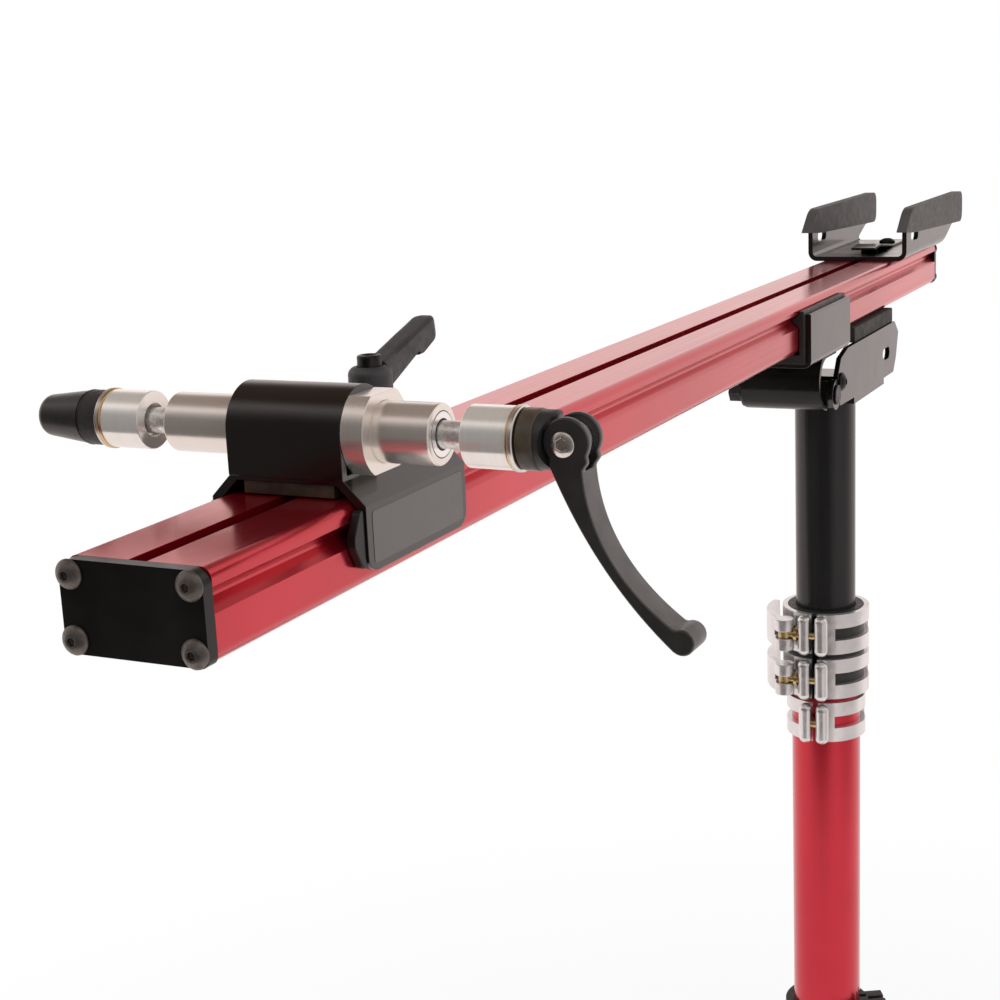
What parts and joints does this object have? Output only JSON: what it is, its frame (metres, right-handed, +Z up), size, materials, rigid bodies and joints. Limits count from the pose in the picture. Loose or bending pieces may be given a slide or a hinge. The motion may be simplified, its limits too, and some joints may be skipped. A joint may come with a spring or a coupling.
{
  "type": "bicycle repair stand",
  "caption": "Folding bicycle repair stand: slotted beam with a sliding fork axle clamp and a padded bottom bracket cradle, on a telescopic turning mast with a folding tripod.",
  "frame": {"origin": "on the floor, under the mast's axis", "axes": "+Z up along the mast, +X along the beam towards the fork axle clamp, +Y to the side of the axle clamp's cam lever"},
  "size_m": [1.2731, 0.9848, 0.995],
  "materials": {
    "red_anodised": "red anodised, satin to polished",
    "black_paint": "black powder coat",
    "black_plastic": "moulded black plastic",
    "brown_plastic": "brown-black moulded plastic",
    "turned_aluminium": "turned, fine rings",
    "chrome": "polished",
    "gold_ring": "serrated, pale gold",
    "rubber": "matt black rubber",
    "steel": "steel fasteners"
  },
  "bodies": {
    "base": {"outer_tube": "red_anodised", "tube_plug": "black_plastic", "clamp_sleeve": "black_plastic", "clamp_bands": "chrome", "clamp_bolts": "steel", "lower_hub": "black_plastic", "hub_pins": "steel"},
    "turn_lever": {"turn_lever": "chrome"},
    "height_lever": {"height_lever": "chrome"},
    "glide": {"glide_bush": "black_plastic"},
    "mast": {"inner_tube": "black_paint", "head_yoke": "black_paint", "rest_pad": "rubber", "pivot_bolt": "steel", "pivot_nut": "steel", "stop_bolt": "steel"},
    "beam": {"beam_rail": "red_anodised", "end_plates": "black_paint", "end_plate_screws": "steel", "cradle_bracket": "black_paint", "cradle_pads": "rubber", "strap_tongue": "black_paint", "cradle_bolts": "steel", "hinge_saddle": "black_paint", "hinge_liner": "black_plastic", "hinge_block": "black_paint", "hinge_bolts": "steel", "pivot_bushes": "black_plastic"},
    "carriage": {"axle_saddle": "black_paint", "saddle_liners": "black_plastic", "glide_block": "brown_plastic", "axle_barrel": "turned_aluminium", "barrel_inserts": "chrome", "flanged_bush": "turned_aluminium", "slot_stud": "steel"},
    "right_clamp": {"clamp_sleeve_right": "turned_aluminium", "grip_ring_right": "gold_ring", "seat_spacer": "brown_plastic", "cam_seat": "black_plastic"},
    "skewer": {"skewer": "steel", "clamp_sleeve_left": "turned_aluminium", "grip_ring_left": "gold_ring"},
    "skewer_nut": {"skewer_nut": "black_plastic"},
    "cam_lever": {"cam_lever": "black_paint", "cam_screw": "steel"},
    "handle": {"clamping_handle": "black_plastic", "handle_screw": "steel"},
    "collar": {"sliding_collar": "black_plastic", "collar_pins": "steel", "collar_bolt": "steel"},
    "collar_lever": {"collar_lever": "black_plastic"},
    "strut_1": {"strut_1": "black_paint"},
    "leg_1": {"leg_1": "red_anodised", "foot_1": "rubber"},
    "strut_2": {"strut_2": "black_paint"},
    "leg_2": {"leg_2": "red_anodised", "foot_2": "rubber"},
    "strut_3": {"strut_3": "black_paint"},
    "leg_3": {"leg_3": "red_anodised", "foot_3": "rubber"}
  },
  "joints": [
    {"name": "mast_slide", "type": "slide", "parent": "base", "child": "glide", "axis": [0, 0, 1], "range_m": [-0.105, 0.2]},
    {"name": "mast_turn", "type": "hinge", "parent": "glide", "child": "mast", "pos_m": [0, 0, 0.368], "axis": [0, 0, 1], "continuous": true},
    {"name": "beam_fold", "type": "hinge", "parent": "mast", "child": "beam", "pos_m": [0.075, 0, 0.888], "axis": [0, 1, 0], "range_deg": [0, 90]},
    {"name": "carriage_slide", "type": "slide", "parent": "beam", "child": "carriage", "axis": [1, 0, 0], "range_m": [-0.385, 0.07]},
    {"name": "handle_turn", "type": "hinge", "parent": "carriage", "child": "handle", "pos_m": [0.565, 0, 0.958], "axis": [0, 0, 1], "range_deg": [-100, 100]},
    {"name": "cam_lever_swing", "type": "hinge", "parent": "skewer", "child": "cam_lever", "pos_m": [0.6075, 0.09341, 0.9702], "axis": [1, 0, 0], "range_deg": [0, 120]},
    {"name": "skewer_draw", "type": "slide", "parent": "carriage", "child": "skewer", "axis": [0, 1, 0], "range_m": [0, 0.00153]},
    {"name": "seat_push", "type": "slide", "parent": "skewer", "child": "right_clamp", "axis": [0, -1, 0], "range_m": [0, 0.00307]},
    {"name": "nut_spin", "type": "hinge", "parent": "skewer", "child": "skewer_nut", "pos_m": [0.6075, -0.0925, 0.9702], "axis": [0, 1, 0], "continuous": true},
    {"name": "turn_lever_swing", "type": "hinge", "parent": "base", "child": "turn_lever", "pos_m": [0.0308, -0.0186, 0.72235], "axis": [0, 0, 1], "range_deg": [0, 120]},
    {"name": "height_lever_swing", "type": "hinge", "parent": "base", "child": "height_lever", "pos_m": [0.0308, -0.0186, 0.69225], "axis": [0, 0, 1], "range_deg": [0, 120]},
    {"name": "tripod_fold", "type": "hinge", "parent": "base", "child": "strut_1", "pos_m": [0.023, 0.03984, 0.13], "axis": [0.866, -0.5, 0], "range_deg": [0, 47]},
    {"name": "leg_1_fold", "type": "hinge", "parent": "strut_1", "child": "leg_1", "pos_m": [0.11165, 0.19339, 0.26852], "axis": [0.866, -0.5, 0], "range_deg": [-94, 0]},
    {"name": "strut_2_fold", "type": "hinge", "parent": "base", "child": "strut_2", "pos_m": [-0.046, 0, 0.13], "axis": [0, 1, 0], "range_deg": [0, 47]},
    {"name": "leg_2_fold", "type": "hinge", "parent": "strut_2", "child": "leg_2", "pos_m": [-0.2233, 0, 0.26852], "axis": [0, 1, 0], "range_deg": [-94, 0]},
    {"name": "strut_3_fold", "type": "hinge", "parent": "base", "child": "strut_3", "pos_m": [0.023, -0.03984, 0.13], "axis": [-0.866, -0.5, 0], "range_deg": [0, 47]},
    {"name": "leg_3_fold", "type": "hinge", "parent": "strut_3", "child": "leg_3", "pos_m": [0.11165, -0.19339, 0.26852], "axis": [-0.866, -0.5, 0], "range_deg": [-94, 0]},
    {"name": "collar_rise", "type": "hinge", "parent": "leg_1", "child": "collar", "pos_m": [0.023, 0.03984, 0.40705], "axis": [0.866, -0.5, 0], "range_deg": [0, 47]},
    {"name": "collar_lever_swing", "type": "hinge", "parent": "collar", "child": "collar_lever", "pos_m": [-0.00159, 0.03834, 0.43905], "axis": [0, 0, 1], "range_deg": [0, 120]}
  ],
  "couplings": [
    {"joint": "skewer_draw", "follows": "cam_lever_swing", "m_per_rad": 0.00073298},
    {"joint": "seat_push", "follows": "cam_lever_swing", "m_per_rad": 0.001466},
    {"joint": "leg_1_fold", "follows": "tripod_fold", "ratio": -2},
    {"joint": "strut_2_fold", "follows": "tripod_fold", "ratio": 1},
    {"joint": "leg_2_fold", "follows": "tripod_fold", "ratio": -2},
    {"joint": "strut_3_fold", "follows": "tripod_fold", "ratio": 1},
    {"joint": "leg_3_fold", "follows": "tripod_fold", "ratio": -2},
    {"joint": "collar_rise", "follows": "tripod_fold", "ratio": 1}
  ]
}
